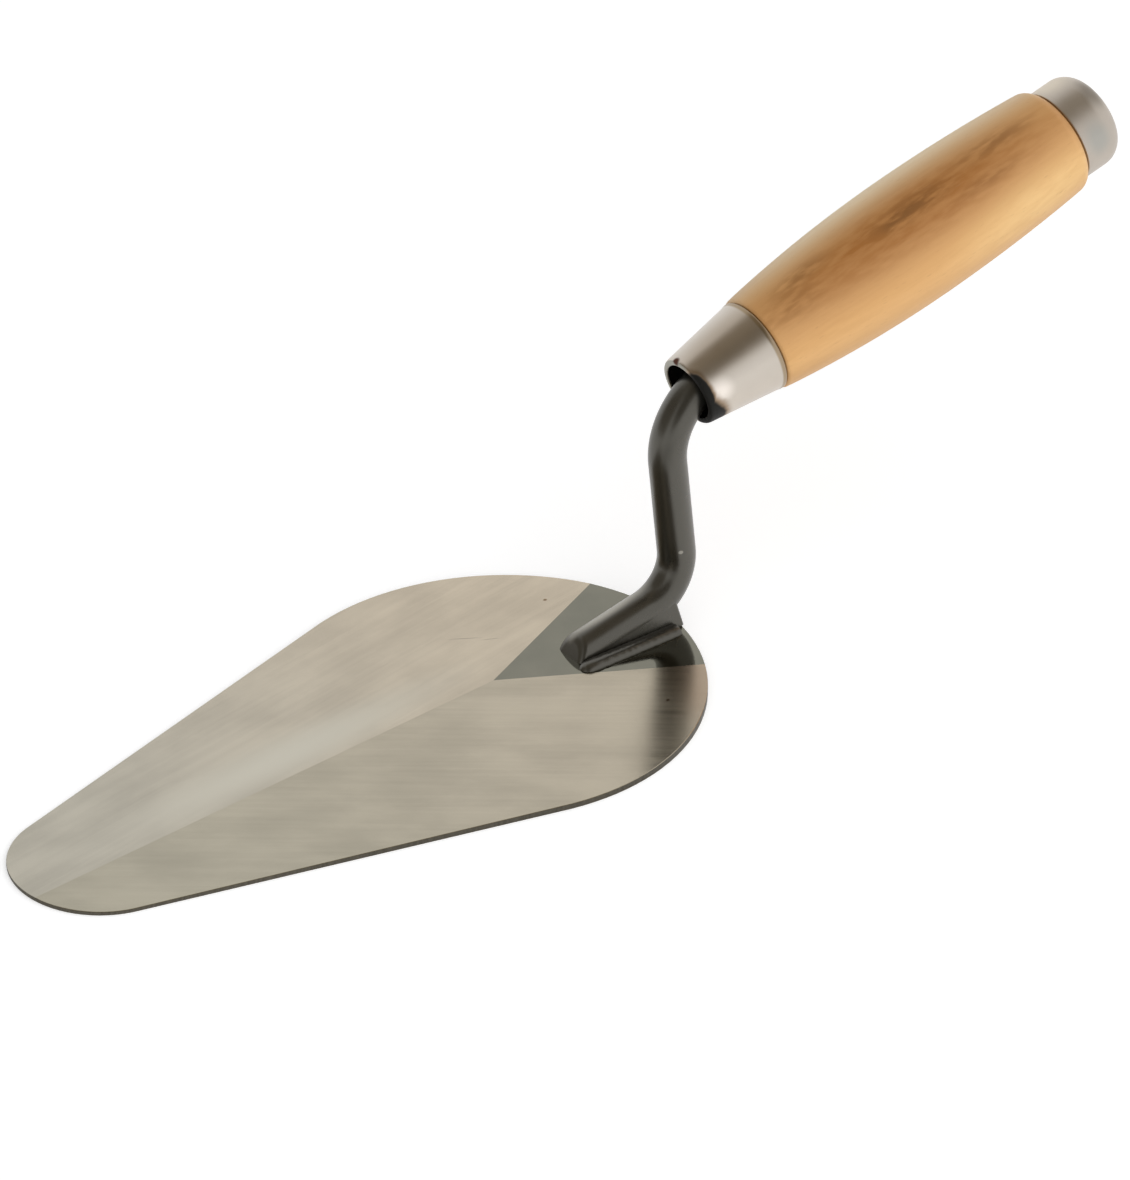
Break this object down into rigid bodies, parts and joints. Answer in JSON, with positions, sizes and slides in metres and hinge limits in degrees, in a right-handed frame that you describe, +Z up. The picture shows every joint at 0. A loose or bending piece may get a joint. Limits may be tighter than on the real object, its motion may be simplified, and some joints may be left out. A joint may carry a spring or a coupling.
{
  "type": "brick trowel",
  "caption": "Brick trowel: flat teardrop steel blade on a cranked black shank, with a turned wooden handle, steel ferrule and end cap.",
  "frame": {"origin": "on the blade's flat underside, on the centreline, at the blade's widest place", "axes": "+X from the blade's tip towards the handle, +Z up, away from the face that rests on the ground"},
  "size_m": [0.337, 0.1066, 0.111],
  "materials": {
    "blade": "ground satin",
    "lacquer": "black gloss lacquer",
    "fittings": "plain satin",
    "wood": "clear varnish"
  },
  "bodies": {
    "root": {"blade": "blade", "shank": "lacquer", "near_weld": "lacquer", "far_weld": "lacquer", "ferrule": "fittings", "handle": "wood", "end_cap": "fittings"}
  },
  "joints": []
}
